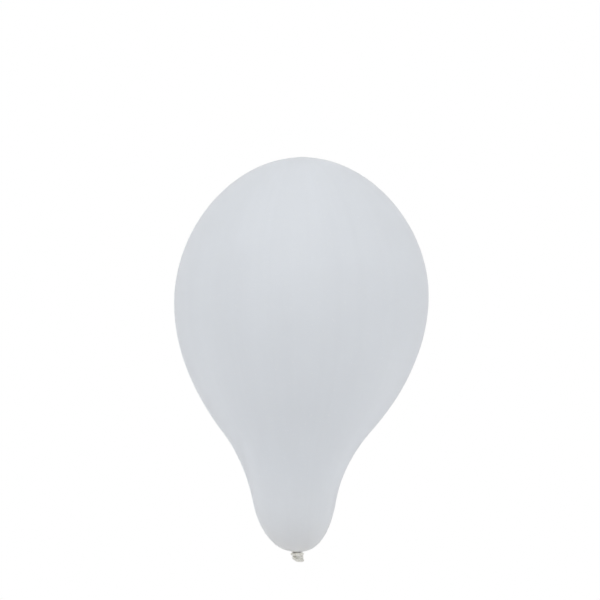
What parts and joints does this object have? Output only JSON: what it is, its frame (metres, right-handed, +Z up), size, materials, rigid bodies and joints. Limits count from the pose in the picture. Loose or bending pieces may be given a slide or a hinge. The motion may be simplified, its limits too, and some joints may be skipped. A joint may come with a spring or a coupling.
{
  "type": "latex balloon",
  "caption": "Tied latex party balloon, blown up until its neck has swollen into a pear shape, with a gathered throat, knot, short tail and rolled lip.",
  "frame": {"origin": "the tie point: the middle of the throat, where the swollen film ends and the gathered film goes down into the knot", "axes": "+Z up from the knot to the crown, +X to the right and -Y to the front as the balloon is looked at, so the mouth of the tail is turned to -Y"},
  "size_m": [0.28, 0.28, 0.4452],
  "materials": {
    "taut_latex": "satin",
    "slack_latex": "matte"
  },
  "bodies": {
    "film": {"envelope": "taut_latex", "swollen_neck": "taut_latex", "throat": "slack_latex"},
    "knot": {"knot_turn": "slack_latex"},
    "free_end": {"tail": "slack_latex", "rolled_lip": "slack_latex"}
  },
  "joints": [
    {"name": "knot_twist", "type": "hinge", "parent": "film", "child": "knot", "pos_m": [0, 0, 0], "axis": [0, 0, 1], "range_deg": [-180, 180], "stiffness_Nm_per_rad": 0.0001},
    {"name": "tail_bend", "type": "hinge", "parent": "knot", "child": "free_end", "pos_m": [0, 0, -0.00588], "axis": [0.9613, 0, -0.2756], "range_deg": [-5, 45], "stiffness_Nm_per_rad": 0.0001}
  ]
}
